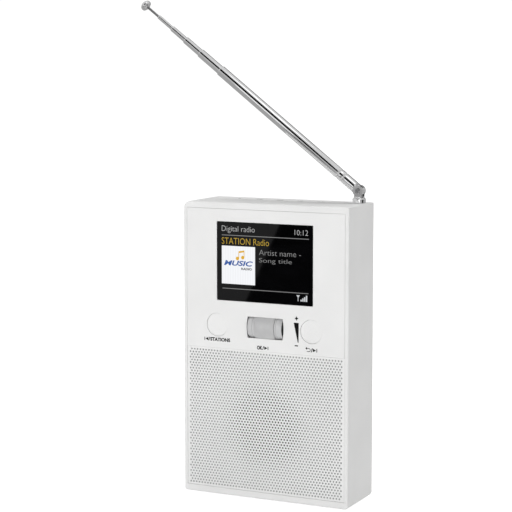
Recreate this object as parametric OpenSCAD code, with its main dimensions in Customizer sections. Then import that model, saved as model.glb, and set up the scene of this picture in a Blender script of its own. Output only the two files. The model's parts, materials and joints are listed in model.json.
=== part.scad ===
// Compact upright tabletop radio with a colour display, roller control and telescopic antenna.
// Frame: origin at the middle of the base on the table, +X right, -Y towards the listener, +Z up.
// All lengths are in millimetres.

/* [Case] */
// Width of the case
body_w = 93; // [93:0.5:96]
// Depth of the case
body_d = 33; // [33:0.5:37]
// Height of the case without its foot
body_h = 153; // [153:0.5:156]
// Wall thickness at the sides
wall = 2; // [1.6:0.1:2]
// Radius of the top left corner seen from the front
corner_top_left = 4.2; // [2:0.1:4.5]
// Radius of the two bottom corners seen from the front
corner_bottom = 2; // [1:0.1:2.5]
// Radius of the rear bottom edge seen from the side
rear_bottom_r = 3.5; // [1:0.1:4]
// Small radius of all the other outer edges
edge_r = 0.7; // [0.4:0.1:0.9]
// How far the rubber foot lifts the case off the table
foot_h = 0.8; // [0.5:0.1:1.5]

/* [Front] */
// Width of the display window
window_w = 54; // [50:1:56]
// Height of the display window
window_h = 40.7; // [38:0.1:41]
// Radius of the speaker opening behind the grille
speaker_r = 21.5; // [20:0.1:21.5]
// Distance between grille holes
grille_pitch = 3.32; // [3:0.1:5]
// Radius of a grille hole
grille_hole_r = 0.9; // [0.5:0.1:1.2]

/* [Controls] */
// Radius of the roller's matt middle
roller_r = 7.4; // [7:0.1:7.5]
// How far the roller stands out of the front
roller_proud = 2.2; // [1.5:0.1:2.2]
// Radius of the two round buttons
button_r = 6; // [5:0.1:6.5]
// Travel of the round buttons and top keys
key_travel = 0.5; // [0.2:0.1:0.5]
// Travel of the pressed roller
roller_travel = 0.8; // [0.3:0.1:0.8]
// Distance between neighbouring top keys
key_pitch = 11.65; // [10:0.1:11.7]

/* [Antenna] */
// Angle of the antenna above the table as stored
antenna_angle = 37.5; // [0:0.5:90]
// Height of the tilt pivot above the case
pivot_h = 6.3; // [6.1:0.1:8]
// Outer diameter of the largest antenna tube
tube_d = 5.5; // [5.5:0.1:5.6]
// Wall thickness of an antenna tube
tube_wall = 0.325; // [0.3:0.005:0.35]

/* [Hidden] */
$fn = 48;
eps = 0.02;      // overshoot of a cut past the face that it opens
seam = 0.1;      // gap between neighbouring case parts

front_y = -body_d / 2;
back_y = body_d / 2;
base_z = foot_h;
top_z = base_z + body_h;
inner_w = body_w - 2 * wall;

// Case openings, as heights above the case's underside
floor_t = 2.4;
roof_t = 2.4;
lip_bottom = 3.6;
lip_top = 3.4;
lip_t = 2;
panel_t = 2;
cover_t = 2;
panel_back_y = front_y + panel_t;
cover_y = back_y - cover_t;

// Lower front: the grille lies in a recess in front of the baffle
grille_top = 77.2;
grille_t = 1;
grille_recess = 0.2;
baffle_y = front_y + 1.4;
baffle_back_y = baffle_y + panel_t;
speaker_z = base_z + 38.5;

// Upper front
window_z = base_z + 122.65;
window_t = 1.2;
control_z = base_z + 89.3;
left_button_x = -26.9;
right_button_x = 26.2;
button_xs = [left_button_x, right_button_x];
button_gap = 0.1;
slot_w = 19.8;         // at the slot's corners; its ends bow outward
slot_h = 10.8;
slot_bow = 0.5;
slot_clearance = 0.15;
roller_x = 0.4;
roller_y = front_y - roller_proud + roller_r;

// Front screw bosses take the rear cover's screws
boss_x = 40.8;
boss_r = 2.6;
boss_heights = [9, 118];
pilot_r = 1.0;
screw_r = 1.3;
screw_head_r = 2.3;
screw_sink = 1.2;

// Boards
board_t = 1.6;
front_board_y = 0;
main_board_y = 8;
board_bottom = base_z + 69;
board_top = base_z + 140;
key_board_z = base_z + 143;
io_board_z = base_z + 7;

// Top keys
key_count = 5;
key_first_x = -25.1;
key_y = -1;
key_depth = 7.8;
key_gap = 0.3;
key_cap_t = 2.6;
function key_x(i) = key_first_x + i * key_pitch;

// Speaker, measured back from the baffle
gasket_t = 0.5;
basket_r = 26;
basket_y = baffle_back_y + gasket_t;
speaker_screw_circle_r = 23.9;
speaker_screw_angles = [45 : 90 : 315];
magnet_r = 15;
magnet_t = 4;
iron_t = 1.5;         // top plate and yoke
magnet_front = 13.1 + gasket_t;
speaker_screw_hole_r = 0.95;
speaker_screw_r = 0.6;

// Antenna
antenna_x = 41.5;
antenna_y = 8.5;
pivot_z = top_z + pivot_h;
collar_r = 3.4;
collar_h = 2.7;
post_r = 2.7;
shaft_r = 1.9;
shaft_fit = 0.05;
ear_r = 2.8;
ear_t = 1.1;
tongue_t = 1.9;
tongue_gap = 0.05;
pin_r = 0.9;
antenna_boss_h = 6;
ferrule_start = 3.2;
tube_start = 5.5;
tube_gap = 0.1;
tube_ends = [99.6, 114.6, 125.9, 136, 146.3];   // outer ends along the arm, from the pivot
tube_lengths = [tube_ends[0] - tube_start, 94, 93, 92, 91];
rod_r = 0.65;
rod_end = 154.2;
rod_length = 90;
cap_r = 2.95;
cap_h = 4;
function tube_r(i) = tube_d / 2 - i * (tube_wall + tube_gap);

// ---------------------------------------------------------------- shared shapes

// Rectangle centred on the origin with four corner radii: top left, top right, bottom right, bottom left
module rounded_rect(w, h, r) {
    difference() {
        square([w, h], center = true);
        for (c = [[-1, 1, r[0]], [1, 1, r[1]], [1, -1, r[2]], [-1, -1, r[3]]])
            translate([c[0] * (w / 2 - c[2]), c[1] * (h / 2 - c[2])])
                difference() {
                    translate([c[0] > 0 ? 0 : -c[2] - 1, c[1] > 0 ? 0 : -c[2] - 1]) square(c[2] + 1);
                    circle(c[2]);
                }
    }
}

// Box given by its lowest corner and its size
module block(low, size) {
    translate(low) cube(size);
}

// Plate that faces -Y, centred on (x, z), with its front at y
module plate(x, z, w, h, y, t) {
    block([x - w / 2, y, z - h / 2], [w, t, h]);
}

// Cylinder along +Y that starts at y
module rod_y(x, y, z, r, length) {
    translate([x, y, z]) rotate([-90, 0, 0]) cylinder(r = r, h = length);
}

// Cylinder along +X centred on x
module rod_x(x, y, z, r, length) {
    translate([x, y, z]) rotate([0, 90, 0]) cylinder(r = r, h = length, center = true);
}

// Profile turned about the speaker's axis; its points are [radius, distance behind the baffle]
module speaker_turn(points) {
    translate([0, baffle_back_y, speaker_z]) rotate([-90, 0, 0]) rotate_extrude() polygon(points);
}

// Places a part along the antenna arm: its +Z runs from the pivot towards the tip
module on_arm() {
    translate([antenna_x, antenna_y, pivot_z]) rotate([0, antenna_angle - 90, 0]) children();
}

// Ring along the current +Z
module tube(outer_r, inner_r, length) {
    difference() {
        cylinder(r = outer_r, h = length);
        translate([0, 0, -eps]) cylinder(r = inner_r, h = length + 2 * eps);
    }
}

// Lead with round bends through a list of points
module lead(points, r) {
    for (i = [0 : len(points) - 2]) {
        run = points[i + 1] - points[i];
        length = norm(run);
        translate(points[i])
            rotate([0, acos(run[2] / length), atan2(run[1], run[0])])
                cylinder(r = r, h = length);
    }
    for (i = [1 : len(points) - 2]) translate(points[i]) sphere(r);
}

// ---------------------------------------------------------------- case

// Outside of the case: three rounded outlines cut each other
module case_envelope() {
    mid_z = base_z + body_h / 2;
    e = edge_r;
    intersection() {
        translate([0, back_y, mid_z]) rotate([90, 0, 0]) linear_extrude(body_d)
            rounded_rect(body_w, body_h, [corner_top_left, e, corner_bottom, corner_bottom]);
        translate([-body_w / 2, 0, mid_z]) rotate([90, 0, 90]) linear_extrude(body_w)
            rounded_rect(body_d, body_h, [e, e, rear_bottom_r, e]);
        translate([0, 0, base_z]) linear_extrude(body_h)
            rounded_rect(body_w, body_d, [e, e, e, e]);
    }
}

module antenna_boss() {
    x0 = antenna_x - 4.5;
    block([x0, antenna_y - 4.5, top_z - antenna_boss_h], [body_w / 2 - wall / 2 - x0, 9, antenna_boss_h - 1]);
}

module foot_outline(grow) {
    difference() {
        rounded_rect(82 + grow, 25 + grow, [4, 4, 4, 4]);
        rounded_rect(74 - grow, 17 - grow, [2, 2, 2, 2]);
    }
}

module body_shell() color("whitesmoke") {
    difference() {
        union() {
            difference() {
                case_envelope();
                // inside, open at the back
                block([-inner_w / 2, front_y + lip_t, base_z + floor_t],
                      [inner_w, body_d, body_h - floor_t - roof_t]);
                // front opening
                block([-inner_w / 2, front_y - 1, base_z + lip_bottom],
                      [inner_w, lip_t + 2, body_h - lip_bottom - lip_top]);
            }
            antenna_boss();
        }
        // one long opening for the row of keys
        key_row_w = key_count * key_pitch;
        block([key_x(0) - key_pitch / 2 - key_gap / 2, key_y - key_depth / 2 - 0.15, top_z - roof_t - 1],
              [key_row_w + key_gap, key_depth + 0.3, roof_t + 2]);
        // seat and bore of the antenna bushing
        translate([antenna_x, antenna_y, top_z - antenna_boss_h - 1]) cylinder(r = 2.5, h = antenna_boss_h + 2);
        // groove of the rubber foot
        translate([0, 0, base_z - 1]) linear_extrude(1.8) foot_outline(0.1);
    }
}

// Roller slot, with ends that bow outward
module slot_outline() {
    bow_r = (slot_h * slot_h / 4 + slot_bow * slot_bow) / (2 * slot_bow);
    intersection() {
        square([slot_w + 2 * slot_bow, slot_h], center = true);
        translate([slot_w / 2 + slot_bow - bow_r, 0]) circle(bow_r, $fn = 240);
        translate([bow_r - slot_w / 2 - slot_bow, 0]) circle(bow_r, $fn = 240);
    }
}

module front_panel() color("white") {
    panel_w = inner_w - 2 * seam;
    panel_top = base_z + body_h - lip_top - seam;
    panel_mid = base_z + grille_top;
    panel_low = base_z + lip_bottom + seam;
    boss_root_y = panel_back_y - 0.3;
    difference() {
        union() {
            block([-panel_w / 2, front_y, panel_mid], [panel_w, panel_t, panel_top - panel_mid]);
            block([-panel_w / 2, baffle_y, panel_low], [panel_w, panel_t, panel_mid - panel_low + 1.5]);
            for (side = [-1, 1], h = boss_heights)
                rod_y(side * boss_x, boss_root_y, base_z + h, boss_r, cover_y - boss_root_y);
        }
        plate(0, window_z, window_w + 2 * seam, window_h + 2 * seam, front_y - 1, panel_t + 2);
        translate([roller_x, front_y + panel_t + 1, control_z]) rotate([90, 0, 0]) linear_extrude(panel_t + 2)
            slot_outline();
        rod_x(roller_x, roller_y, control_z, roller_r + slot_clearance, slot_w);
        for (x = button_xs) rod_y(x, front_y - 1, control_z, button_r + button_gap, panel_t + 2);
        rod_y(0, baffle_y - 1, speaker_z, speaker_r, panel_t + 2);
        for (side = [-1, 1], h = boss_heights)
            rod_y(side * boss_x, cover_y - 10, base_z + h, pilot_r, 10 + eps);
        on_speaker_screws() rod_y(0, baffle_back_y - 1.4, 0, speaker_screw_r, 2);
    }
}

// Staggered holes over the speaker
module speaker_grille() color("gainsboro") {
    low = base_z + lip_bottom + seam;
    high = base_z + grille_top - seam;
    w = inner_w - 2 * seam;
    row_h = grille_pitch * sin(60);
    rows = floor(speaker_r / row_h);
    y = front_y + grille_recess;
    translate([0, y + grille_t, speaker_z]) rotate([90, 0, 0]) linear_extrude(grille_t)
        difference() {
            translate([-w / 2, low - speaker_z]) square([w, high - low]);
            for (j = [-rows : rows], i = [-rows : rows]) {
                hole = [(i + (j % 2 == 0 ? 0 : 0.5)) * grille_pitch, j * row_h];
                if (norm(hole) < speaker_r - grille_hole_r) translate(hole) circle(grille_hole_r, $fn = 24);
            }
        }
}

// Positions of the headphone and power sockets on the back
jack_x = -21;
jack_z = io_board_z + board_t + 3;
jack_nose_r = 2.9;
jack_r = 1.8;
power_x = 21;
power_z = io_board_z + board_t + 1.75;
power_w = 8.94;
power_h = 3.26;

module stadium(w, h) {
    rounded_rect(w, h, [h / 2 - 0.01, h / 2 - 0.01, h / 2 - 0.01, h / 2 - 0.01]);
}

module rear_cover() color("whitesmoke") {
    low = base_z + floor_t + seam;
    high = base_z + body_h - roof_t - seam;
    w = inner_w - 2 * seam;
    difference() {
        intersection() {
            case_envelope();
            block([-w / 2, cover_y, low], [w, cover_t + 1, high - low]);
        }
        for (side = [-1, 1], h = boss_heights) {
            rod_y(side * boss_x, cover_y - 1, base_z + h, screw_r, cover_t + 2);
            rod_y(side * boss_x, back_y - screw_sink, base_z + h, screw_head_r + 0.1, 2);
        }
        rod_y(jack_x, cover_y - 1, jack_z, jack_nose_r + 0.1, cover_t + 2);
        translate([power_x, back_y + 1, power_z]) rotate([90, 0, 0]) linear_extrude(cover_t + 2)
            stadium(power_w + 0.3, power_h + 0.3);
    }
}

module base_foot() color("dimgray") {
    linear_extrude(foot_h + 0.75) foot_outline(0);
}

module rear_screws() color("silver") {
    head_y = back_y - screw_sink;
    for (side = [-1, 1], h = boss_heights) difference() {
        union() {
            rod_y(side * boss_x, head_y, base_z + h, screw_head_r, 1.0);
            rod_y(side * boss_x, head_y - 7, base_z + h, pilot_r, 7 + eps);
        }
        // cross recess
        for (turn = [0, 90])
            translate([side * boss_x, head_y + 1, base_z + h]) rotate([0, turn, 0])
                cube([2.4, 1.2, 0.5], center = true);
    }
}

// ---------------------------------------------------------------- display

lcd_w = 60;
lcd_h = 46;
lcd_t = 2;
backlight_t = 2.2;
lcd_y = panel_back_y + 0.4;

module display_window() color([0.1, 0.1, 0.12, 0.6]) {
    translate([0, front_y + window_t, window_z]) rotate([90, 0, 0]) linear_extrude(window_t)
        rounded_rect(window_w, window_h, [0.6, 0.6, 0.6, 0.6]);
}

module lcd_panel() color("midnightblue") plate(0, window_z, lcd_w, lcd_h, lcd_y, lcd_t);

module lcd_backlight() color("ghostwhite") {
    plate(0, window_z, lcd_w - 2, lcd_h - 2, lcd_y + lcd_t, backlight_t);
}

// Moulded frame that holds the display against the panel
module lcd_holder() color("dimgray") {
    rim = 1.2;
    depth = lcd_t + backlight_t + 1.2;
    ear_x = 33.5;
    ear_hole_x = 34;
    difference() {
        union() {
            plate(0, window_z, lcd_w + 0.2 + 2 * rim, lcd_h + 0.2 + 2 * rim, lcd_y, depth);
            for (side = [-1, 1]) plate(side * ear_x, window_z, 5, 8, lcd_y, 2);
        }
        plate(0, window_z, lcd_w + 0.2, lcd_h + 0.2, lcd_y - 1, depth);
        plate(0, window_z, 40, 30, lcd_y, depth + 1);
        for (side = [-1, 1]) rod_y(side * ear_hole_x, lcd_y - 1, window_z, 0.8, 4);
    }
}

// Flat cable from the display back to the front board
module lcd_ribbon() color("orange") {
    low = lcd_y + lcd_t + backlight_t;
    block([-9, low, window_z - 12], [18, 0.2, 8]);
    block([-9, low, window_z - 4], [18, front_board_y - low, 0.2]);
}

// ---------------------------------------------------------------- roller control

band_w = 4.2;      // bright band at each end of the roller
roller_w = 19.5;
arm_x = 10.1;
arm_t = 1.4;
axle_r = 1.4;
axle_fit = 0.05;
carrier_back_y = roller_y + roller_r + 0.3;
encoder_t = 4.5;

// Moves a part of the roller control to the roller's middle
module at_roller() {
    translate([roller_x, 0, 0]) children();
}

module wheel_roller() color("darkgray") at_roller() {
    w = roller_w - 2 * band_w;
    difference() {
        rod_x(0, roller_y, control_z, roller_r, w);
        rod_x(0, roller_y, control_z, axle_r, w + 1);
    }
}

module wheel_end_rings() color("silver") at_roller() {
    for (side = [-1, 1]) translate([side * (roller_w - band_w) / 2, 0, 0]) difference() {
        rod_x(0, roller_y, control_z, roller_r - 0.5, band_w);
        rod_x(0, roller_y, control_z, axle_r, band_w + 1);
    }
}

module wheel_axle() color("gray") at_roller() {
    left = -arm_x - arm_t;
    right = arm_x + arm_t + encoder_t - 1;
    rod_x((left + right) / 2, roller_y, control_z, axle_r, right - left);
}

// U-shaped bracket that carries the roller and is pushed in with it
module wheel_carrier() color("ivory") at_roller() {
    difference() {
        union() {
            for (side = [-1, 1])
                plate(side * (arm_x + arm_t / 2), control_z, arm_t, 9, panel_back_y + 0.6,
                      carrier_back_y - panel_back_y + 0.4);
            plate(0, control_z, 2 * (arm_x + arm_t), 9, carrier_back_y, 1);
        }
        rod_x(0, roller_y, control_z, axle_r + axle_fit, 3 * arm_x);
    }
}

module wheel_encoder() color("green") at_roller() {
    difference() {
        plate(arm_x + arm_t + encoder_t / 2, control_z, encoder_t, 11, panel_back_y + 0.6, 9);
        rod_x(arm_x + arm_t, roller_y, control_z, axle_r + axle_fit, 2 * encoder_t - 1);
    }
}

// Fixed guide on the front board in which the carrier slides
module wheel_cradle() color("slategray") at_roller() {
    reach = front_board_y - panel_back_y - 0.2;
    y = panel_back_y + 0.2;
    for (left = [true, false]) {
        x = left ? -arm_x - arm_t - 0.1 - 1 : arm_x + arm_t + encoder_t + 0.1;
        block([x, y, control_z - 6], [1, reach, 12]);
        foot_x = left ? x - 2.5 : x + 1;
        block([foot_x, front_board_y - 1, control_z - 6], [2.5, 1, 12]);
    }
}

// ---------------------------------------------------------------- buttons and keys

button_sink = 0.3;
stem_r = 1.8;
switch_h = 3.5;
plunger_h = 1.3;
stem_end_y = front_board_y - switch_h - plunger_h - key_travel - 0.1;

// Round cap with a dished face, a retaining flange and a stem
module push_button(x) {
    cap_y = front_y + button_sink;
    dish_r = 60;
    difference() {
        union() {
            rod_y(x, cap_y, control_z, button_r, panel_t - button_sink + 0.6);
            rod_y(x, panel_back_y + 0.1, control_z, button_r + 0.9, 0.9);
            rod_y(x, cap_y, control_z, stem_r, stem_end_y - cap_y);
        }
        translate([x, cap_y - dish_r + 0.25, control_z]) sphere(dish_r, $fn = 96);
    }
}

module left_button() color("white") push_button(left_button_x);
module right_button() color("white") push_button(right_button_x);

// Key cap with two edge flanges under the roof and a stem
module top_key(i) {
    flange_z = top_z - roof_t - 0.1 - 1;
    stem_end = key_board_z + board_t + 2.5 + 0.8 + key_travel + 0.1;
    w = key_pitch - key_gap;
    block([key_x(i) - w / 2, key_y - key_depth / 2, top_z - key_cap_t], [w, key_depth, key_cap_t]);
    block([key_x(i) - w / 2, key_y - key_depth / 2 - 0.9, flange_z], [w, key_depth + 1.8, 1]);
    translate([key_x(i), key_y, stem_end]) cylinder(r = stem_r, h = top_z - stem_end - 1);
}

module power_key() color("white") top_key(0);
module mode_key() color("white") top_key(1);
module menu_key() color("white") top_key(2);
module info_key() color("white") top_key(3);
module alarm_key() color("white") top_key(4);

// ---------------------------------------------------------------- boards

module front_board() color("darkgreen") {
    difference() {
        block([-36, front_board_y, board_bottom], [72, board_t, board_top - board_bottom]);
        for (x = [-33, 33], z = [board_bottom + 3, board_top - 3]) rod_y(x, front_board_y - 1, z, 1.1, 4);
    }
}

module key_board() color("darkgreen") {
    block([-34, -7.5, key_board_z], [65, 14, board_t]);
}

// Switches under the two buttons, the roller and the five keys
module tact_switches() color("dimgray") {
    for (x = button_xs) {
        plate(x, control_z, 6, 6, front_board_y - switch_h, switch_h);
        rod_y(x, front_board_y - switch_h - plunger_h, control_z, 1.7, plunger_h + eps);
    }
    plate(roller_x, control_z, 6, 6, front_board_y - 1.6, 1.6);
    plunger_y = carrier_back_y + 1 + roller_travel + 0.1;
    rod_y(roller_x, plunger_y, control_z, 1.5, front_board_y - 1 - plunger_y);
    for (i = [0 : key_count - 1]) translate([key_x(i), key_y, key_board_z + board_t]) {
        translate([-3, -3, 0]) cube([6, 6, 2.5]);
        cylinder(r = 1.7, h = 3.3);
    }
}

module main_board() color("darkgreen") {
    difference() {
        block([-37, main_board_y, board_bottom], [74, board_t, board_top - board_bottom]);
        for (x = [-34, 34], z = [board_bottom + 3, board_top - 3]) rod_y(x, main_board_y - 1, z, 1.1, 4);
    }
}

main_back_y = main_board_y + board_t;

// Screened tuner
module tuner_can() color("silver") {
    block([8, main_back_y, board_bottom + 40], [24, 3.2, 24]);
}

module wireless_module() color("silver") {
    block([-32, main_back_y, board_bottom + 44], [18, 2.4, 22]);
}

// Processor, memory and amplifier chips
module main_chips() color([0.12, 0.12, 0.13]) {
    block([-10, main_back_y, board_bottom + 44], [12, 1.2, 12]);
    block([-10, main_back_y, board_bottom + 32], [12, 1.1, 6]);
    block([14, main_back_y, board_bottom + 12], [8, 1.4, 8]);
}

// Round capacitors on the main board and coils on the socket board
module capacitors() color("steelblue") {
    for (i = [0 : 3]) rod_y(-28 + 8 * i, main_back_y, board_bottom + 14, 2.5, 4.6);
    for (i = [0 : 2]) translate([-8 + 8 * i, 8, io_board_z + board_t]) cylinder(r = 2.5, h = 5);
}

// Plug connectors between the boards
module board_headers() color("black") {
    block([-12, front_board_y + board_t, board_bottom + 30], [24, main_board_y - front_board_y - board_t, 5]);
    block([22, main_board_y - 4, board_bottom + 4], [8, 4, 5]);
    block([-8, -3.5, io_board_z + board_t], [16, 4, 4]);
}

module io_board() color("darkgreen") {
    front = -4;
    block([-32, front, io_board_z], [64, cover_y - 0.4 - front, board_t]);
}

module headphone_jack() color([0.15, 0.15, 0.16]) {
    depth = 12.8;
    mouth_y = back_y - 0.2;
    difference() {
        union() {
            block([jack_x - 3.5, cover_y - 12, io_board_z + board_t], [7, 12 - 0.1, 6]);
            rod_y(jack_x, cover_y - 1, jack_z, jack_nose_r, mouth_y - cover_y + 1);
        }
        rod_y(jack_x, mouth_y - depth, jack_z, jack_r, depth + 1);
    }
}

// Oval power receptacle with its contact tongue
module power_socket() color("silver") {
    depth = 7.3;
    mouth_y = back_y - 0.3;
    translate([power_x, mouth_y, power_z]) rotate([90, 0, 0]) {
        linear_extrude(depth) difference() {
            stadium(power_w, power_h);
            stadium(power_w - 0.6, power_h - 0.6);
        }
        translate([0, 0, depth - 1]) linear_extrude(1) stadium(power_w - 0.4, power_h - 0.4);
        translate([0, 0, 1]) linear_extrude(depth - 1) square([6.7, 0.7], center = true);
    }
}

// ---------------------------------------------------------------- speaker

// Places a part at each of the speaker's screws
module on_speaker_screws() {
    for (a = speaker_screw_angles)
        translate([speaker_screw_circle_r * cos(a), 0, speaker_z + speaker_screw_circle_r * sin(a)])
            children();
}

module speaker_gasket() color("black") {
    inner_r = speaker_r + 0.3;
    outer_r = basket_r - 0.5;
    difference() {
        speaker_turn([[inner_r, 0], [outer_r, 0], [outer_r, gasket_t], [inner_r, gasket_t]]);
        on_speaker_screws() rod_y(0, basket_y - 1, 0, speaker_screw_hole_r, 2);
    }
}

module speaker_basket() color("dimgray") {
    flange_t = 1.2;
    rear = magnet_front;
    difference() {
        speaker_turn([[speaker_r, gasket_t], [basket_r, gasket_t], [basket_r, gasket_t + flange_t],
                      [speaker_r + 0.6, gasket_t + flange_t], [magnet_r + 1, rear], [9, rear], [9, rear - 1],
                      [magnet_r, rear - 1], [speaker_r, gasket_t + flange_t + 0.6]]);
        // windows between the spokes
        for (a = [0 : 60 : 300])
            translate([0, baffle_back_y + 7.5, speaker_z]) rotate([0, a, 0]) translate([15, -3.5, -3.5])
                cube([12, 7, 7]);
        on_speaker_screws() rod_y(0, basket_y - 1, 0, speaker_screw_hole_r, 4);
    }
}

// Half roll that joins the cone to the frame
module speaker_surround() color([0.1, 0.1, 0.1]) {
    roll = 1.5;
    translate([0, baffle_back_y + 2.2, speaker_z]) rotate([-90, 0, 0]) rotate_extrude()
        translate([speaker_r - roll - 0.1, 0]) difference() {
            circle(roll, $fn = 32);
            circle(roll - 0.4, $fn = 32);
            translate([-5, 0]) square(10);
        }
}

module speaker_cone() color([0.2, 0.2, 0.2]) {
    speaker_turn([[18.2, 2.2], [18.5, 2.6], [7.2, 9.4], [6.9, 9.0]]);
}

module dust_cap() color([0.15, 0.15, 0.15]) {
    dome_r = 10;
    translate([0, baffle_back_y + 8.4 + sqrt(dome_r * dome_r - 49), speaker_z]) rotate([90, 0, 0])
        rotate_extrude() intersection() {
            difference() {
                circle(dome_r, $fn = 96);
                circle(dome_r - 0.4, $fn = 96);
            }
            translate([0, sqrt(dome_r * dome_r - 49)]) square([7, 5]);
        }
}

module voice_coil() color("sandybrown") {
    speaker_turn([[6.4, 9.0], [6.8, 9.0], [6.8, 16], [6.4, 16]]);
}

module speaker_spider() color("khaki") {
    speaker_turn([[6.9, 11.2], [14.3, 11.2], [14.3, 11.6], [6.9, 11.6]]);
}

module speaker_top_plate() color("gray") {
    front = magnet_front;
    speaker_turn([[7.1, front], [magnet_r - 1, front], [magnet_r - 1, front + iron_t], [7.1, front + iron_t]]);
}

module speaker_magnet() color([0.25, 0.25, 0.27]) {
    front = magnet_front + iron_t;
    speaker_turn([[8.5, front], [magnet_r, front], [magnet_r, front + magnet_t], [8.5, front + magnet_t]]);
}

module speaker_yoke() color("gray") {
    pole_r = 6.2;
    pole_front = 13.3;
    front = magnet_front + iron_t + magnet_t;
    speaker_turn([[0, pole_front], [pole_r, pole_front], [pole_r, front], [magnet_r - 1, front],
                  [magnet_r - 1, front + iron_t], [0, front + iron_t]]);
}

module speaker_screws() color("silver") on_speaker_screws() {
    rod_y(0, basket_y + 1.2, 0, 1.6, 1);
    rod_y(0, baffle_back_y - 1.2, 0, speaker_screw_r, gasket_t + 1.2 + 1.3);
}

// Two leads from the speaker up to the main board
module speaker_leads() color("firebrick") {
    for (x = [24.5, 27.5])
        lead([[x, 4.6, base_z + 45], [x, 4.6, board_bottom + 1.9], [x, 4.6, board_bottom + 4]], 0.5);
    block([23.5, 4, base_z + 42], [5, 1.2, 3]);
}

// ---------------------------------------------------------------- antenna

module antenna_bushing() color("silver") {
    translate([antenna_x, antenna_y, 0]) difference() {
        union() {
            translate([0, 0, top_z]) cylinder(r = collar_r, h = collar_h - 0.5);
            translate([0, 0, top_z + collar_h - 0.5]) cylinder(r1 = collar_r, r2 = collar_r - 0.5, h = 0.5);
            translate([0, 0, top_z - antenna_boss_h]) cylinder(r = 2.5, h = antenna_boss_h + 1);
        }
        translate([0, 0, top_z - antenna_boss_h - 1])
            cylinder(r = shaft_r + shaft_fit, h = antenna_boss_h + collar_h + 2);
    }
}

// Swivelling post with two ears for the tilt pin
module antenna_post() color("silver") {
    shoulder_z = top_z + collar_h + 0.1;
    slot_z = pivot_z - ear_r - 0.15;
    ear_y = tongue_t / 2 + tongue_gap;
    shaft_low = top_z - antenna_boss_h - 0.1;
    difference() {
        union() {
            translate([antenna_x, antenna_y, shaft_low]) cylinder(r = shaft_r, h = shoulder_z - shaft_low + 0.1);
            translate([antenna_x, antenna_y, shoulder_z]) cylinder(r = post_r, h = slot_z - shoulder_z);
            intersection() {
                translate([antenna_x, antenna_y, shoulder_z]) cylinder(r = post_r, h = pivot_z - shoulder_z);
                for (side = [-1, 1])
                    plate(antenna_x, (slot_z + pivot_z) / 2 - 0.2, 2 * post_r, pivot_z - slot_z + 0.4,
                          antenna_y + (side < 0 ? -ear_y - ear_t : ear_y), ear_t);
            }
            for (side = [-1, 1])
                rod_y(antenna_x, antenna_y + (side < 0 ? -ear_y - ear_t : ear_y), pivot_z, ear_r, ear_t);
        }
        rod_y(antenna_x, antenna_y - 5, pivot_z, pin_r, 10);
        translate([antenna_x, antenna_y, shaft_low - 1]) cylinder(r = 0.8, h = 6);
    }
}

module antenna_pin() color("gray") {
    half = tongue_t / 2 + tongue_gap + ear_t;
    rod_y(antenna_x, antenna_y - half, pivot_z, pin_r, 2 * half);
    for (side = [-1, 1]) rod_y(antenna_x, antenna_y + side * (half + 0.2) - 0.2, pivot_z, 1.5, 0.4);
}

module antenna_screw() color("gray") {
    head_z = top_z - antenna_boss_h - 0.1;
    translate([antenna_x, antenna_y, head_z - 1.5]) cylinder(r = 2.6, h = 1.5);
    translate([antenna_x, antenna_y, head_z - eps]) cylinder(r = 0.8, h = 4.9);
}

// Flat tongue and round ferrule at the foot of the arm
module antenna_knuckle() color("silver") on_arm() difference() {
    union() {
        rotate([90, 0, 0]) cylinder(r = ear_r - 0.1, h = tongue_t, center = true);
        intersection() {
            translate([-ear_r + 0.1, -tongue_t / 2, 0]) cube([2 * ear_r - 0.2, tongue_t, ferrule_start + 0.5]);
            cylinder(r = tube_r(0), h = 10);
        }
        translate([0, 0, ferrule_start]) cylinder(r = tube_r(0), h = tube_start - ferrule_start);
    }
    rotate([90, 0, 0]) cylinder(r = pin_r + 0.05, h = 10, center = true);
}

// Section of the telescope; each slides inside the one before
module antenna_tube(i) color("silver") on_arm()
    translate([0, 0, tube_ends[i] - tube_lengths[i]])
        tube(tube_r(i), tube_r(i) - tube_wall, tube_lengths[i]);

module antenna_tube_1() antenna_tube(0);
module antenna_tube_2() antenna_tube(1);
module antenna_tube_3() antenna_tube(2);
module antenna_tube_4() antenna_tube(3);
module antenna_tube_5() antenna_tube(4);

module antenna_rod() color("silver") on_arm()
    translate([0, 0, rod_end - rod_length]) cylinder(r = rod_r, h = rod_length);

// Domed button on the tip
module antenna_cap() color("silver") on_arm() translate([0, 0, rod_end]) {
    cylinder(r1 = 1.6, r2 = cap_r, h = 1);
    translate([0, 0, 1]) cylinder(r = cap_r, h = 1.4);
    intersection() {
        translate([0, 0, cap_h - 6]) sphere(6, $fn = 64);
        translate([0, 0, 2.4]) cylinder(r = cap_r - 0.2, h = 3);
    }
}

// ---------------------------------------------------------------- assembly

body_shell();
front_panel();
speaker_grille();
rear_cover();
base_foot();
rear_screws();
display_window();
lcd_panel();
lcd_backlight();
lcd_holder();
lcd_ribbon();
wheel_cradle();
wheel_carrier();
wheel_encoder();
wheel_roller();
wheel_end_rings();
wheel_axle();
left_button();
right_button();
power_key();
mode_key();
menu_key();
info_key();
alarm_key();
front_board();
key_board();
tact_switches();
main_board();
tuner_can();
wireless_module();
main_chips();
capacitors();
board_headers();
io_board();
headphone_jack();
power_socket();
speaker_gasket();
speaker_basket();
speaker_surround();
speaker_cone();
dust_cap();
voice_coil();
speaker_spider();
speaker_top_plate();
speaker_magnet();
speaker_yoke();
speaker_screws();
speaker_leads();
antenna_bushing();
antenna_post();
antenna_pin();
antenna_screw();
antenna_knuckle();
antenna_tube_1();
antenna_tube_2();
antenna_tube_3();
antenna_tube_4();
antenna_tube_5();
antenna_rod();
antenna_cap();
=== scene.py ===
"""Looks of the tabletop radio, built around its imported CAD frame."""

import json
import math

import bmesh
import bpy
from mathutils import Matrix, Vector


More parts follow.
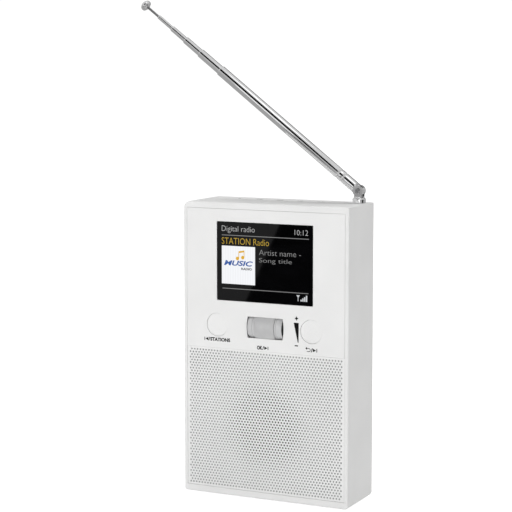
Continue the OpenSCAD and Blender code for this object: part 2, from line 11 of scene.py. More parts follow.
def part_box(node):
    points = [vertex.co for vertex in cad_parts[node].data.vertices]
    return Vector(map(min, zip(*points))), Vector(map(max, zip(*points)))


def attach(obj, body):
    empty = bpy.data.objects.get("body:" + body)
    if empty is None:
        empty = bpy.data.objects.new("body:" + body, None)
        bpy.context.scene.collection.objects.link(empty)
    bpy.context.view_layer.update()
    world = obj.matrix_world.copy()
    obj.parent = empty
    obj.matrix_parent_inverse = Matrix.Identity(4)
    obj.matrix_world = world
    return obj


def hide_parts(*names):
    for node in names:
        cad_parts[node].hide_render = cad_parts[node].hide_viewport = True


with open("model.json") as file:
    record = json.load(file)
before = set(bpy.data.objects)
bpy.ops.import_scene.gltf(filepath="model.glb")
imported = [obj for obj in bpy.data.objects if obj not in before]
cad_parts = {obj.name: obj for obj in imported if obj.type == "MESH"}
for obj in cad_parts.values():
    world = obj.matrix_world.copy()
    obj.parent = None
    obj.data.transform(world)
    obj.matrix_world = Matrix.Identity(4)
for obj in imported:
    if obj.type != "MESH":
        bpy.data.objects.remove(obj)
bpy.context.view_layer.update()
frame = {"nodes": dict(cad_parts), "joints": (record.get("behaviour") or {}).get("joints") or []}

# Shapes are drawn in millimetres and turned into metres by MM; the studio is set out in metres
MM = 0.001
COLLECTION = bpy.context.scene.collection

# Planes for print and plates: local X runs right, local Y up, local Z out of the surface
FRONT = Matrix.Rotation(math.radians(90), 4, "X")
REAR = Matrix.Rotation(math.radians(180), 4, "Z") @ FRONT
TOP = Matrix.Identity(4)


def box_mm(node):
    """Lowest and highest corner of a CAD node in millimetres."""
    low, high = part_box(node)
    return low / MM, high / MM


def centre_mm(node):
    low, high = box_mm(node)
    return (low + high) / 2


def joint(name):
    return next(j for j in frame["joints"] if j["name"] == name)


# ---------------------------------------------------------------- materials


def open_material(name):
    """Empties a material and returns its tree, its shader and its object coordinates."""
    material = bpy.data.materials.get(name) or bpy.data.materials.new(name)
    material.use_nodes = True
    tree = material.node_tree
    tree.nodes.clear()
    output = tree.nodes.new("ShaderNodeOutputMaterial")
    shader = tree.nodes.new("ShaderNodeBsdfPrincipled")
    tree.links.new(shader.outputs["BSDF"], output.inputs["Surface"])
    place = tree.nodes.new("ShaderNodeTexCoord").outputs["Object"]
    return tree, shader, place


def noise(tree, place, size_mm, detail=2.0, stretch=(1, 1, 1)):
    """Noise whose blobs are about size_mm across, drawn out along the axes by stretch."""
    mapping = tree.nodes.new("ShaderNodeMapping")
    mapping.inputs["Scale"].default_value = [1 / (size_mm * MM * s) for s in stretch]
    tree.links.new(place, mapping.inputs["Vector"])
    texture = tree.nodes.new("ShaderNodeTexNoise")
    texture.inputs["Scale"].default_value = 1.0
    texture.inputs["Detail"].default_value = detail
    tree.links.new(mapping.outputs["Vector"], texture.inputs["Vector"])
    return texture.outputs["Fac"]


def cells(tree, place, size_mm):
    """Distance from the middle of irregular cells about size_mm across."""
    texture = tree.nodes.new("ShaderNodeTexVoronoi")
    texture.inputs["Scale"].default_value = 1 / (size_mm * MM)
    tree.links.new(place, texture.inputs["Vector"])
    return texture.outputs["Distance"]


def ramp(tree, value, low, high, start=0.35, end=0.65):
    """Colour that runs from low to high as value goes from start to end."""
    blend = tree.nodes.new("ShaderNodeValToRGB")
    blend.color_ramp.elements[0].position = start
    blend.color_ramp.elements[0].color = (*low, 1)
    blend.color_ramp.elements[1].position = end
    blend.color_ramp.elements[1].color = (*high, 1)
    tree.links.new(value, blend.inputs["Fac"])
    return blend.outputs["Color"]


def spread(tree, value, low, high, start=0.3, end=0.7):
    """Number that runs from low to high as value goes from start to end."""
    remap = tree.nodes.new("ShaderNodeMapRange")
    remap.inputs["From Min"].default_value = start
    remap.inputs["From Max"].default_value = end
    remap.inputs["To Min"].default_value = low
    remap.inputs["To Max"].default_value = high
    tree.links.new(value, remap.inputs["Value"])
    return remap.outputs["Result"]


def tint(tree, shader, value, low, high, start=0.35, end=0.65):
    """Base colour that runs from low to high as value goes from start to end."""
    tree.links.new(ramp(tree, value, low, high, start, end), shader.inputs["Base Color"])


def gloss(tree, shader, value, low, high):
    """Roughness that runs from low to high over the middle of value's range."""
    tree.links.new(spread(tree, value, low, high), shader.inputs["Roughness"])


def stripes(tree, place, axis, scale_mm):
    """Even stripes across an axis, about a third of scale_mm apart."""
    waves = tree.nodes.new("ShaderNodeTexWave")
    waves.bands_direction = axis
    waves.inputs["Scale"].default_value = 1 / (scale_mm * MM)
    waves.inputs["Distortion"].default_value = 0.0
    tree.links.new(place, waves.inputs["Vector"])
    return waves.outputs["Fac"]


def emboss(tree, shader, height, depth_mm):
    """Bump of depth_mm from a height value."""
    bump = tree.nodes.new("ShaderNodeBump")
    bump.inputs["Strength"].default_value = 1.0
    bump.inputs["Distance"].default_value = depth_mm * MM
    tree.links.new(height, bump.inputs["Height"])
    tree.links.new(bump.outputs["Normal"], shader.inputs["Normal"])


def shade(colour, factor):
    return tuple(c * factor for c in colour)


def grey(level):
    return (level, level, level)


def plastic(name, colour, roughness, grain_mm=0.3, grain_depth=0.004, drift=0.03):
    """Moulded plastic: faint drift of the colour, uneven gloss and a fine spark-eroded grain."""
    tree, shader, place = open_material(name)
    broad = noise(tree, place, 22)
    grain = noise(tree, place, grain_mm, detail=3)
    tint(tree, shader, broad, shade(colour, 1 - drift), colour)
    gloss(tree, shader, grain, roughness - 0.05, roughness + 0.06)
    emboss(tree, shader, grain, grain_depth)
    shader.inputs["IOR"].default_value = 1.5
    return shader


def metal(name, colour, roughness, stretch=(1, 1, 1), scratch_mm=0.12, scratch_depth=0.0008):
    """Plated or bare metal with fine scratches drawn out by stretch and a slight tarnish."""
    tree, shader, place = open_material(name)
    tarnish = noise(tree, place, 6)
    scratches = noise(tree, place, scratch_mm, detail=3, stretch=stretch)
    tint(tree, shader, tarnish, shade(colour, 0.94), colour)
    gloss(tree, shader, scratches, roughness * 0.75, roughness * 1.3)
    emboss(tree, shader, scratches, scratch_depth)
    shader.inputs["Metallic"].default_value = 1.0
    return shader


def case_white():
    plastic("case_white", (0.83, 0.83, 0.825), 0.42)


def panel_white():
    plastic("panel_white", (0.84, 0.84, 0.835), 0.40)


def grille_white():
    plastic("grille_white", (0.84, 0.84, 0.835), 0.5, grain_mm=0.2)


def button_white():
    plastic("button_white", (0.85, 0.85, 0.845), 0.3, grain_depth=0.002)


def key_white():
    plastic("key_white", (0.80, 0.80, 0.795), 0.36, grain_depth=0.003)


def foot_rubber():
    shader = plastic("foot_rubber", (0.05, 0.05, 0.052), 0.72, grain_mm=0.5, grain_depth=0.03, drift=0.25)
    shader.inputs["Specular IOR Level"].default_value = 0.35


def screw_steel():
    metal("screw_steel", (0.42, 0.42, 0.43), 0.3, stretch=(1, 6, 1))


def plain_steel():
    metal("plain_steel", (0.52, 0.51, 0.50), 0.34, stretch=(5, 1, 1))


def window_glass():
    """Black-backed acrylic: deep gloss with faint wiping haze."""
    tree, shader, place = open_material("window_glass")
    haze = noise(tree, place, 9, detail=4, stretch=(2.5, 1, 1))
    tint(tree, shader, haze, (0.0012, 0.0012, 0.0014), (0.0022, 0.0022, 0.0026))
    gloss(tree, shader, haze, 0.015, 0.04)
    shader.inputs["IOR"].default_value = 1.49
    shader.inputs["Specular IOR Level"].default_value = 0.4


def lcd_dark():
    """Display cell with its polariser and thin rubbing lines."""
    tree, shader, place = open_material("lcd_dark")
    lines = noise(tree, place, 0.4, stretch=(1, 1, 30))
    tint(tree, shader, lines, (0.006, 0.008, 0.012), (0.012, 0.014, 0.02))
    gloss(tree, shader, lines, 0.12, 0.2)


def lcd_white():
    plastic("lcd_white", (0.78, 0.79, 0.77), 0.55, grain_mm=0.6)


def frame_grey():
    plastic("frame_grey", (0.09, 0.09, 0.1), 0.5, drift=0.12)


def frame_white():
    plastic("frame_white", (0.66, 0.65, 0.61), 0.46)


def ribbon_amber():
    """Polyimide film over copper tracks that run along the ribbon."""
    tree, shader, place = open_material("ribbon_amber")
    tracks = stripes(tree, place, "X", 2)
    tint(tree, shader, tracks, (0.32, 0.11, 0.015), (0.5, 0.2, 0.04), 0.4, 0.6)
    gloss(tree, shader, noise(tree, place, 2), 0.22, 0.36)
    emboss(tree, shader, tracks, 0.01)


def roller_satin():
    """Satin silver lacquer on the roller's grip, with a fine bead-blast grain."""
    tree, shader, place = open_material("roller_satin")
    grain = noise(tree, place, 0.18, detail=4)
    broad = noise(tree, place, 5)
    tint(tree, shader, broad, (0.57, 0.57, 0.575), (0.61, 0.61, 0.612))
    gloss(tree, shader, grain, 0.42, 0.56)
    emboss(tree, shader, grain, 0.006)
    shader.inputs["Metallic"].default_value = 0.35


def ring_silver():
    """Satin silver lacquer on the roller's end bands, turned with fine lines."""
    shader = metal("ring_silver", (0.66, 0.66, 0.665), 0.42, stretch=(0.3, 4, 4))
    shader.inputs["Metallic"].default_value = 0.3


def board_green():
    """Solder mask with the relief of the tracks under it."""
    tree, shader, place = open_material("board_green")
    tracks = tree.nodes.new("ShaderNodeTexBrick")
    tracks.inputs["Scale"].default_value = 1 / (4 * MM)
    tracks.inputs["Mortar Size"].default_value = 0.06
    tracks.inputs["Color1"].default_value = (0.006, 0.09, 0.03, 1)
    tracks.inputs["Color2"].default_value = (0.008, 0.11, 0.04, 1)
    tracks.inputs["Mortar"].default_value = (0.02, 0.2, 0.07, 1)
    turn = tree.nodes.new("ShaderNodeMapping")
    turn.inputs["Rotation"].default_value = (math.radians(90), 0, 0)
    tree.links.new(place, turn.inputs["Vector"])
    tree.links.new(turn.outputs["Vector"], tracks.inputs["Vector"])
    tree.links.new(tracks.outputs["Color"], shader.inputs["Base Color"])
    gloss(tree, shader, noise(tree, place, 3), 0.25, 0.4)
    emboss(tree, shader, tracks.outputs["Fac"], 0.02)


def switch_black():
    plastic("switch_black", (0.03, 0.03, 0.032), 0.42, drift=0.2)


def can_steel():
    metal("can_steel", (0.62, 0.62, 0.6), 0.26, stretch=(8, 1, 1))


def chip_black():
    plastic("chip_black", (0.02, 0.02, 0.022), 0.55, grain_mm=0.15, drift=0.2)


def capacitor_sleeve():
    plastic("capacitor_sleeve", (0.03, 0.06, 0.16), 0.3, drift=0.15)


def socket_black():
    plastic("socket_black", (0.025, 0.025, 0.027), 0.4, drift=0.2)


def socket_steel():
    metal("socket_steel", (0.6, 0.59, 0.57), 0.24, stretch=(6, 1, 1))


def gasket_foam():
    """Open-cell foam."""
    tree, shader, place = open_material("gasket_foam")
    pores = cells(tree, place, 0.6)
    tint(tree, shader, pores, grey(0.01), grey(0.045), 0.1, 0.6)
    gloss(tree, shader, pores, 0.8, 0.95)
    emboss(tree, shader, pores, 0.15)


def basket_steel():
    metal("basket_steel", (0.3, 0.3, 0.31), 0.4)


def surround_rubber():
    plastic("surround_rubber", (0.02, 0.02, 0.02), 0.6, grain_mm=0.4, drift=0.2)


def cone_paper():
    """Pressed paper pulp with short fibres."""
    tree, shader, place = open_material("cone_paper")
    fibres = noise(tree, place, 0.5, detail=6, stretch=(1, 1, 3))
    tint(tree, shader, fibres, (0.02, 0.02, 0.021), (0.06, 0.058, 0.055))
    gloss(tree, shader, fibres, 0.75, 0.95)
    emboss(tree, shader, fibres, 0.04)


def coil_copper():
    """Turns of enamelled wire round the speaker's axis."""
    tree, shader, place = open_material("coil_copper")
    turns = stripes(tree, place, "Y", 1.2)
    tint(tree, shader, turns, (0.35, 0.11, 0.04), (0.72, 0.32, 0.16))
    gloss(tree, shader, turns, 0.3, 0.2)
    emboss(tree, shader, turns, 0.05)
    shader.inputs["Metallic"].default_value = 1.0


def spider_cloth():
    """Woven and resin-stiffened cloth."""
    tree, shader, place = open_material("spider_cloth")
    weave = tree.nodes.new("ShaderNodeTexChecker")
    weave.inputs["Scale"].default_value = 1 / (0.5 * MM)
    weave.inputs["Color1"].default_value = (0.42, 0.27, 0.09, 1)
    weave.inputs["Color2"].default_value = (0.3, 0.19, 0.06, 1)
    tree.links.new(place, weave.inputs["Vector"])
    tree.links.new(weave.outputs["Color"], shader.inputs["Base Color"])
    gloss(tree, shader, noise(tree, place, 1), 0.75, 0.9)
    emboss(tree, shader, weave.outputs["Fac"], 0.08)


def magnet_ferrite():
    plastic("magnet_ferrite", (0.045, 0.045, 0.05), 0.62, grain_mm=0.25, grain_depth=0.02, drift=0.25)


def lead_red():
    plastic("lead_red", (0.42, 0.02, 0.02), 0.38, drift=0.15)


def antenna_chrome():
    metal("antenna_chrome", (0.86, 0.86, 0.865), 0.07, scratch_depth=0.0003)


def rod_steel():
    """Bare spring steel of the thin end rod."""
    metal("rod_steel", (0.34, 0.34, 0.345), 0.3, stretch=(3, 3, 3))


def grille_cloth():
    """Woven cloth behind the grille, with painted shade: near black over the speaker, standing in for the
    shaded opening and the dark cone that would show through it.
    """
    painted_shade_radius, unshaded_radius = 14, 26
    tree, shader, place = open_material("grille_cloth")
    speaker = centre_mm("speaker_cone")
    speaker.y = box_mm("speaker_grille")[0].y
    reach = tree.nodes.new("ShaderNodeVectorMath")
    reach.operation = "DISTANCE"
    reach.inputs[1].default_value = speaker * MM
    tree.links.new(place, reach.inputs[0])
    # painted shade: the cloth runs from near black over the speaker's middle to pale grey further out
    painted_shade_fade = spread(tree, reach.outputs["Value"], 0, 1, painted_shade_radius * MM, unshaded_radius * MM)
    weave = noise(tree, place, 0.3)
    tint(tree, shader, painted_shade_fade, grey(0.005), grey(0.38), 0, 1)
    gloss(tree, shader, weave, 0.85, 1.0)
    emboss(tree, shader, weave, 0.05)


def print_ink():
    """Silk-screened black ink: slightly uneven cover and a dull sheen."""
    tree, shader, place = open_material("print_ink")
    cover = noise(tree, place, 0.3, detail=3)
    tint(tree, shader, cover, grey(0.002), grey(0.006))
    gloss(tree, shader, cover, 0.55, 0.7)
    shader.inputs["Specular IOR Level"].default_value = 0.15


def lit_pixels(name, colour):
    """Lit part of the display: a glow in faint columns under the same gloss as the window."""
    tree, shader, place = open_material(name)
    columns = stripes(tree, place, "X", 3.06)
    glow = ramp(tree, columns, shade(colour, 0.92), colour)
    tree.links.new(glow, shader.inputs["Emission Color"])
    tint(tree, shader, columns, grey(0.002), grey(0.004))
    shader.inputs["Emission Strength"].default_value = 1.0
    shader.inputs["Roughness"].default_value = 0.04


DISPLAY_COLOURS = {
    "lit_text": grey(0.50),
    "lit_dim_text": grey(0.22),
    "lit_rule": grey(0.23),
    "lit_yellow": (0.55, 0.36, 0.03),
    "lit_tile": (0.93, 0.94, 0.97),
    "lit_bars": (0.62, 0.64, 0.66),
    "lit_blue": (0.03, 0.10, 0.36),
    "lit_orange": (0.75, 0.42, 0.03),
    "lit_black": grey(0.01),
}

FINISHES = [
    case_white, panel_white, grille_white, button_white, key_white, foot_rubber, screw_steel,
    plain_steel, window_glass, lcd_dark, lcd_white, frame_grey, frame_white, ribbon_amber,
    roller_satin, ring_silver, board_green, switch_black, can_steel, chip_black, capacitor_sleeve,
    socket_black, socket_steel, gasket_foam, basket_steel, surround_rubber, cone_paper, coil_copper,
    spider_cloth, magnet_ferrite, lead_red, antenna_chrome, rod_steel, print_ink, grille_cloth,
]


def make_materials():
    for finish in FINISHES:
        finish()
    for name, colour in DISPLAY_COLOURS.items():
        lit_pixels(name, colour)


# ---------------------------------------------------------------- mesh helpers

# Angles in degrees between neighbouring faces: below the first they become one flat face,
# above the second their edge is broken, and above the third a turned piece shows a crease
FLAT_ANGLE = 0.6
EDGE_ANGLE = 32
CREASE_ANGLE = 40


def add_object(name, mesh, material, body, replaces=()):
    """Puts a finished mesh in the scene as a piece that rides on a body."""
    piece = bpy.data.objects.new(name, mesh)
    COLLECTION.objects.link(piece)
    if not mesh.materials:
        mesh.materials.append(bpy.data.materials[material])
    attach(piece, body)
    if replaces:
        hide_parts(*replaces)
    return piece


def mesh_from(name, vertices, faces, place):
    """Mesh from points in millimetres, moved by place and scaled to metres."""
    mesh = bpy.data.meshes.new(name)
    mesh.from_pydata([tuple(v) for v in vertices], [], faces)
    mesh.transform(Matrix.Scale(MM, 4) @ place)
    mesh.validate()
    return mesh


def drawn_mesh(name, draw, place):
    """Mesh of what draw(bm) adds in millimetres, moved by place and scaled to metres."""
    bm = bmesh.new()
    draw(bm)
    mesh = bpy.data.meshes.new(name)
    bm.to_mesh(mesh)
    bm.free()
    mesh.transform(Matrix.Scale(MM, 4) @ place)
    return mesh


def smooth_faces(mesh):
    mesh.polygons.foreach_set("use_smooth", [True] * len(mesh.polygons))


def soften(piece, width_mm):
    """Breaks the sharp edges of a piece and smooths the rest."""
    mesh = piece.data
    normals = mesh.attributes.get("custom_normal")
    if normals:
        mesh.attributes.remove(normals)
    smooth_faces(mesh)
    weld = piece.modifiers.new("Weld", "WELD")
    weld.merge_threshold = 1e-6
    flat = piece.modifiers.new("Flatten", "DECIMATE")
    flat.decimate_type = "DISSOLVE"
    flat.angle_limit = math.radians(FLAT_ANGLE)
    bevel = piece.modifiers.new("Bevel", "BEVEL")
    bevel.width = width_mm * MM
    bevel.segments = 3
    bevel.limit_method = "ANGLE"
    bevel.angle_limit = math.radians(EDGE_ANGLE)
    bevel.use_clamp_overlap = True
    smooth = piece.modifiers.new("Normals", "WEIGHTED_NORMAL")
    smooth.keep_sharp = False
    smooth.weight = 60


def lathe_mesh(name, profile, place, segments):
    """Solid of revolution about local Z; the profile's points are (height, radius)."""
    vertices = []
    rings = []
    for height, radius in profile:
        if radius == 0:
            rings.append([len(vertices)])
            vertices.append((0, 0, height))
            continue
        rings.append(list(range(len(vertices), len(vertices) + segments)))
        for i in range(segments):
            turn = 2 * math.pi * i / segments
            vertices.append((radius * math.cos(turn), radius * math.sin(turn), height))
    faces = []
    for lower, upper in zip(rings, rings[1:]):
        for i in range(segments):
            j = (i + 1) % segments
            corners = [lower[k % len(lower)] for k in (i, j)] + [upper[k % len(upper)] for k in (j, i)]
            faces.append(list(dict.fromkeys(corners)))
    mesh = mesh_from(name, vertices, faces, place)
    smooth_faces(mesh)
    mesh.set_sharp_from_angle(angle=math.radians(CREASE_ANGLE))
    return mesh


def prism(bm, outline, thickness, z=0.0):
    """Adds a flat prism over an outline of (x, y) points."""
    low = [bm.verts.new((x, y, z)) for x, y in outline]
    high = [bm.verts.new((x, y, z + thickness)) for x, y in outline]
    bm.faces.new(high)
    bm.faces.new(list(reversed(low)))
    for i in range(len(outline)):
        j = (i + 1) % len(outline)
        bm.faces.new([low[i], low[j], high[j], high[i]])


def rectangle(x0, y0, x1, y1):
    """Outline from its lower left and its upper right corner."""
    return [(x0, y0), (x1, y0), (x1, y1), (x0, y1)]


def arc(x, y, radius, start, end, steps):
    """Points on an arc, angles in degrees."""
    turns = [math.radians(start + (end - start) * i / steps) for i in range(steps + 1)]
    return [(x + radius * math.cos(t), y + radius * math.sin(t)) for t in turns]


def ring_band(x, y, outer, inner, start, end, steps):
    """Outlines of the short quads of a ring or part of one."""
    far, near = arc(x, y, outer, start, end, steps), arc(x, y, inner, start, end, steps)
    return [[far[i], far[i + 1], near[i + 1], near[i]] for i in range(steps)]


def add_text(bm, words, box, thickness, z=0.0, slant=0.0, bold=0.0):
    """Adds words set in the built-in font, fitted into box = (x0, y0, x1, y1)."""
    x0, y0, x1, y1 = box
    curve = bpy.data.curves.new("words", "FONT")
    curve.body = words
    curve.size = 1.0
    curve.resolution_u = 4
    curve.shear = slant
    curve.offset = bold
    letters = bpy.data.objects.new("words", curve)
    COLLECTION.objects.link(letters)
    bpy.context.view_layer.update()
    flat = bpy.data.meshes.new_from_object(letters)
    bpy.data.objects.remove(letters)
    x = [v.co.x for v in flat.vertices]
    y = [v.co.y for v in flat.vertices]
    scale_x = (x1 - x0) / (max(x) - min(x))
    scale_y = (y1 - y0) / (max(y) - min(y))
    fitted = Matrix.Translation((x0 - min(x) * scale_x, y0 - min(y) * scale_y, z))
    flat.transform(fitted @ Matrix.Diagonal((scale_x, scale_y, 1, 1)))
    letters_bm = bmesh.new()
    letters_bm.from_mesh(flat)
    bmesh.ops.remove_doubles(letters_bm, verts=letters_bm.verts, dist=1e-5)
    solid = bmesh.ops.extrude_face_region(letters_bm, geom=letters_bm.faces[:])
    raised = [e for e in solid["geom"] if isinstance(e, bmesh.types.BMVert)]
    bmesh.ops.translate(letters_bm, verts=raised, vec=(0, 0, thickness))
    bmesh.ops.recalc_face_normals(letters_bm, faces=letters_bm.faces[:])
    letters_bm.to_mesh(flat)
    letters_bm.free()
    bm.from_mesh(flat)
    bpy.data.meshes.remove(flat)
    bpy.data.curves.remove(curve)


def flat_piece(name, draw, plane, lift_mm, material):
    """Thin layer on the case, lifted along its plane's normal; draw(bm) adds its shapes."""
    mesh = drawn_mesh(name, draw, plane @ Matrix.Translation((0, 0, lift_mm)))
    add_object(name, mesh, material, "case")


# ---------------------------------------------------------------- speaker grille

HOLE_PITCH = 1.66
HOLE_RADIUS = 0.48
HOLE_SIDES = 12
GRILLE_SHEET = 0.35
GRILLE_BORDER = 0.7

# The cloth's thickness, and its distance from the back of the sheet and from the sheet's outline
CLOTH = 0.1
CLOTH_GAP = 0.1
CLOTH_INSET = 0.1


def grille_mesh():
    """Perforated sheet: rows of holes, every second row moved half a pitch."""
    low, high = box_mm("speaker_grille")
    width, height = high.x - low.x, high.z - low.z
    row_pitch = HOLE_PITCH * math.sin(math.radians(60))
    columns = int((width - 2 * GRILLE_BORDER) / HOLE_PITCH - 0.5)
    rows = int((height - 2 * GRILLE_BORDER) / row_pitch)
    left = -(columns + 0.5) * HOLE_PITCH / 2
    bottom = (low.z + high.z - rows * row_pitch) / 2
    vertices, faces = [], []
    index = {}

    def vertex(x, z, y):
        key = (round(x, 4), round(z, 4), round(y, 4))
        if key not in index:
            index[key] = len(vertices)
            vertices.append((x, z, -y))
        return index[key]

    def face(points, y, flip):
        corners = [vertex(x, z, y) for x, z in points]
        faces.append(corners[::-1] if flip else corners)

    def cell(x0, z0):
        """One hole in its rectangle, on both faces of the sheet, and the hole's wall."""
        x1, z1 = x0 + HOLE_PITCH, z0 + row_pitch
        x_mid, z_mid = x0 + HOLE_PITCH / 2, z0 + row_pitch / 2
        hole = arc(x_mid, z_mid, HOLE_RADIUS, 90, 450, HOLE_SIDES)[:-1]
        rim = [(x_mid, z1), (x0, z1), (x0, z0), (x_mid, z0), (x1, z0), (x1, z1)]
        step = HOLE_SIDES // 6
        for y, flip in ((0, False), (GRILLE_SHEET, True)):
            for i in range(6):
                edge = [hole[(i * step + k) % HOLE_SIDES] for k in range(step, -1, -1)]
                face([rim[i], rim[(i + 1) % 6]] + edge, y, flip)
        for i in range(HOLE_SIDES):
            a, b = hole[i], hole[(i + 1) % HOLE_SIDES]
            faces.append([vertex(*a, 0), vertex(*b, 0), vertex(*b, GRILLE_SHEET), vertex(*a, GRILLE_SHEET)])

    def border(x0, z0, x1, z1):
        for y, flip in ((0, False), (GRILLE_SHEET, True)):
            face(rectangle(x0, z0, x1, z1), y, flip)

    for row in range(rows):
        z0 = bottom + row * row_pitch
        start = left + (row % 2) * HOLE_PITCH / 2
        for column in range(columns):
            cell(start + column * HOLE_PITCH, z0)
        border(low.x, z0, start, z0 + row_pitch)
        border(start + columns * HOLE_PITCH, z0, high.x, z0 + row_pitch)
    border(low.x, low.z, high.x, bottom)
    border(low.x, bottom + rows * row_pitch, high.x, high.z)
    outline = rectangle(low.x, low.z, high.x, high.z)
    for i in range(4):
        a, b = outline[i], outline[(i + 1) % 4]
        faces.append([vertex(*b, 0), vertex(*a, 0), vertex(*a, GRILLE_SHEET), vertex(*b, GRILLE_SHEET)])
    return mesh_from("grille_sheet", vertices, faces, FRONT @ Matrix.Translation((0, 0, -low.y)))


def make_grille():
    """Perforated sheet with the speaker cloth behind it."""
    add_object("grille_sheet", grille_mesh(), "grille_white", "case", ["speaker_grille"])
    low, high = box_mm("speaker_grille")

    def cloth(bm):
        left, right = low.x + CLOTH_INSET, high.x - CLOTH_INSET
        prism(bm, rectangle(left, low.z + CLOTH_INSET, right, high.z - CLOTH_INSET), CLOTH)

    flat_piece("grille_cloth", cloth, FRONT, -low.y - GRILLE_SHEET - CLOTH_GAP - CLOTH, "grille_cloth")


# ---------------------------------------------------------------- display

WINDOW_RADIUS = 0.7
WINDOW_EDGE = 0.2

# How far the picture lies above the window, the step between its layers, and their thickness
PICTURE_GAP = 0.01
PICTURE_STEP = 0.04
PICTURE_SKIN = 0.02


def make_window():
    """Gloss window with rounded corners and softened edges."""
    low, high = box_mm("display_window")
    left, right = low.x + WINDOW_RADIUS, high.x - WINDOW_RADIUS
    bottom, top = low.z + WINDOW_RADIUS, high.z - WINDOW_RADIUS
    outline = []
    for x, z, start in ((right, top, 0), (left, top, 90), (left, bottom, 180), (right, bottom, 270)):
        outline += arc(x, z, WINDOW_RADIUS, start, start + 90, 6)

    def draw(bm):
        prism(bm, outline, high.y - low.y)

    mesh = drawn_mesh("window_plate", draw, FRONT @ Matrix.Translation((0, 0, -high.y)))
    plate = add_object("window_plate", mesh, "window_glass", "case", ["display_window"])
    soften(plate, WINDOW_EDGE)


def picture(name, draw, material, layer):
    """Lit shapes on the display, in millimetres from the window's middle."""
    middle = centre_mm("display_window")
    lift = -box_mm("display_window")[0].y + PICTURE_GAP + layer * PICTURE_STEP
    mesh = drawn_mesh(name, draw, FRONT @ Matrix.Translation((middle.x, middle.z, lift)))
    add_object(name, mesh, material, "case")


def make_picture():
    """Header, station name, picture tile, song lines and signal sign on the display."""
    left, right = -24.2, 24.8
    rule = 0.35
    thin = PICTURE_SKIN

    def header(bm):
        add_text(bm, "Digital radio", (left, 14.6, -5.4, 18.3), thin, bold=-0.012)
        add_text(bm, "10:12", (16.9, 15.2, 24.3, 17.9), thin, bold=-0.015)

    def rules(bm):
        prism(bm, rectangle(left, 13.3, right, 13.3 + rule), thin)
        prism(bm, rectangle(left + 0.4, -14.2, right - 0.2, -14.2 + rule), thin)

    def title(bm):
        add_text(bm, "STATION Radio", (left, 8.9, 2.6, 12.2), thin, bold=-0.012)

    def lines(bm):
        add_text(bm, "Artist name -", (-3.0, 4.1, 20.4, 6.9), thin, bold=-0.01)
        add_text(bm, "Song title", (-3.0, -0.3, 15.4, 2.6), thin, bold=-0.01)

    def tile(bm):
        prism(bm, rectangle(left, -11.6, -5.2, 8.0), thin)

    def word(bm):
        add_text(bm, "MUSIC", (-22.9, -2.1, -6.4, 0.6), thin, slant=0.25, bold=0.03)

    def note(bm):
        for x, y in ((-15.2, 1.7), (-12.2, 2.3)):
            prism(bm, arc(x, y, 0.95, 0, 330, 11), thin)
            prism(bm, rectangle(x + 0.6, y, x + 0.95, y + 3.7), thin)
        prism(bm, [(-14.6, 4.5), (-11.25, 5.1), (-11.25, 6.0), (-14.6, 5.4)], thin)

    def small_word(bm):
        add_text(bm, "RADIO", (-13.0, -4.1, -7.0, -2.9), thin, bold=0.03)

    def bars(bm):
        foot = -18.2
        for i, height in enumerate((0.9, 1.6, 2.3, 3.1)):
            prism(bm, rectangle(20.2 + i, foot, 20.95 + i, foot + height), thin)
        prism(bm, [(17.9, -15.1), (19.9, -15.1), (18.9, -16.5)], thin)
        prism(bm, rectangle(18.75, foot, 19.05, foot + 2), thin)

    picture("picture_header", header, "lit_text", layer=0)
    picture("picture_rules", rules, "lit_rule", layer=0)
    picture("picture_title", title, "lit_yellow", layer=0)
    picture("picture_lines", lines, "lit_dim_text", layer=0)
    picture("picture_tile", tile, "lit_tile", layer=0)
    picture("picture_word", word, "lit_blue", layer=1)
    picture("picture_note", note, "lit_orange", layer=1)
    picture("picture_small_word", small_word, "lit_black", layer=1)
    picture("picture_signal", bars, "lit_bars", layer=0)


# ---------------------------------------------------------------- printed signs

# Thickness of the ink, its distance from the surface, and the step that keeps crossing strokes apart
INK = 0.02
INK_GAP = 0.012
INK_STEP = 0.001


def ink(bm, *outlines, z=0.0):
    """Prints the inside of each outline."""
    for outline in outlines:
        prism(bm, outline, INK, z)


def skip_sign(x, y, size, forward):
    """Outlines of a triangle and a bar, as on a skip or play key."""
    turn = 1 if forward else -1
    half = size / 2
    tip, base = x + turn * half, x - turn * half
    bar_start, bar_end = sorted((tip + turn * size * 0.12, tip + turn * size * 0.32))
    triangle = [(base, y - half), (tip, y), (base, y + half)]
    return [triangle[::turn], rectangle(bar_start, y - half, bar_end, y + half)]


def slash(x, y, height):
    """Outline of a leaning stroke between two signs."""
    half = height / 2
    return [(x - 0.5, y - half), (x - 0.1, y - half), (x + 0.5, y + half), (x + 0.1, y + half)]


